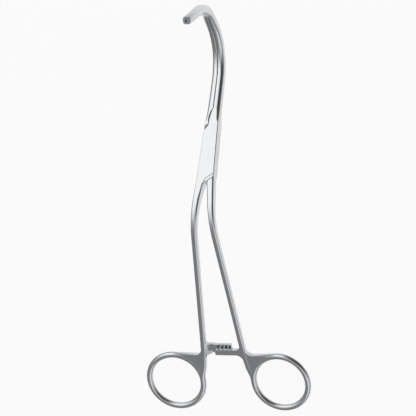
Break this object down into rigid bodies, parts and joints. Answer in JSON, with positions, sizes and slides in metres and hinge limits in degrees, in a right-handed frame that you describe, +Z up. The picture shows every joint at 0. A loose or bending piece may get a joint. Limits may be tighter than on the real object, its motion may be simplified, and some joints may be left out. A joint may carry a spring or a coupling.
{
  "type": "aortic clamp",
  "caption": "Ring-handled vascular clamp with bent shanks, box lock, ratchet and hooked jaws for closing off a large artery.",
  "frame": {"origin": "bottom centre of the overall box, on the surface the clamp lies on", "axes": "+X across the finger rings towards the half whose tongue passes through the lock, +Y from the finger rings to the jaws, +Z up from the surface"},
  "size_m": [0.0962, 0.2268, 0.0502],
  "materials": {
    "satin_steel_female": "satin, glass-bead blasted stainless steel",
    "satin_steel_male": "satin, glass-bead blasted stainless steel",
    "ground_steel_pin": "ground flush and satin finished"
  },
  "bodies": {
    "female": {"female_half": "satin_steel_female", "joint_pin": "ground_steel_pin"},
    "male": {"male_half": "satin_steel_male"}
  },
  "joints": [
    {"name": "box_lock", "type": "hinge", "parent": "female", "child": "male", "pos_m": [0, 0.03275, 0.02178], "axis": [0, 0.4162, 0.9093], "range_deg": [0, 30]}
  ]
}
